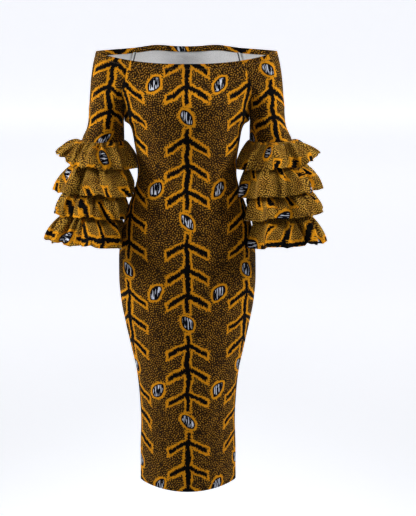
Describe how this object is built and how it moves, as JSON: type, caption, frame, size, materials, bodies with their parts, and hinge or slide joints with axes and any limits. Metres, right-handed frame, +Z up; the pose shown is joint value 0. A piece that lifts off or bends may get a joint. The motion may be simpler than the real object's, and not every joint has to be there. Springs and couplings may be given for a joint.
{
  "type": "off-the-shoulder wax print midi dress",
  "caption": "Close-fitting off-the-shoulder midi dress in a wax-print stretch cloth, with tiered ruffle sleeves, filled out as worn with no wearer.",
  "frame": {"origin": "centre of the neck opening, where the chest and both upper arms of the wearer hold the dress up", "axes": "+Z up, -Y the way the front faces, +X towards the wearer's left"},
  "size_m": [0.68, 0.2571, 1.0818],
  "materials": {
    "wax_print": "matt printed stretch jersey, golden brown with orange and black, plain pale grey on its reverse"
  },
  "bodies": {
    "root": {"dress_front": "wax_print", "dress_back": "wax_print", "neck_casing": "wax_print", "sleeve_left": "wax_print", "sleeve_right": "wax_print", "ruffle_left_1": "wax_print", "ruffle_left_2": "wax_print", "ruffle_left_3": "wax_print", "ruffle_left_4": "wax_print", "ruffle_right_1": "wax_print", "ruffle_right_2": "wax_print", "ruffle_right_3": "wax_print", "ruffle_right_4": "wax_print"}
  },
  "joints": []
}
